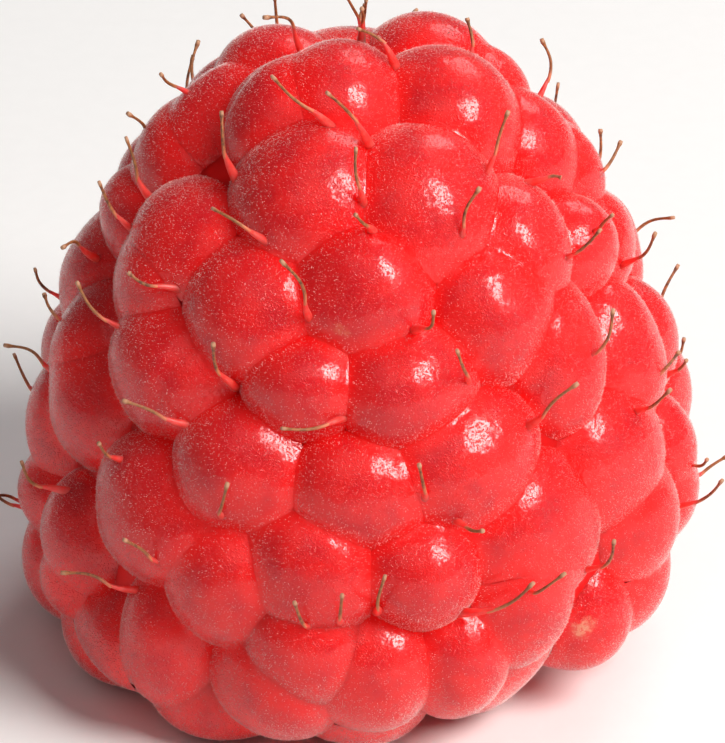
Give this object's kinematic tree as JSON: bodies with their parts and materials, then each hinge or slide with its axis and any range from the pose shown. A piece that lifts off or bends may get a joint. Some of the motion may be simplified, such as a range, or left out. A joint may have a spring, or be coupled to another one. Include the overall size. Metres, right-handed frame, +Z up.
{
  "type": "raspberry",
  "caption": "Picked raspberry standing on its open end: red rounded drupelets packed over a wall round an open hollow, with dried styles and short pale down.",
  "frame": {"origin": "on the fruit's upright axis, on the plane that its open end rests on", "axes": "+Z runs up the fruit's axis from the open end to the tip; the side that the picture shows faces -Y; +X is to that viewer's right"},
  "size_m": [0.0257, 0.0251, 0.0243],
  "materials": {
    "drupelet_skin": "satin",
    "cavity": "matt",
    "style_root": "satin",
    "style_thread": "matt",
    "down": "matt"
  },
  "bodies": {
    "root": {"raspberry": "drupelet_skin"}
  },
  "joints": []
}
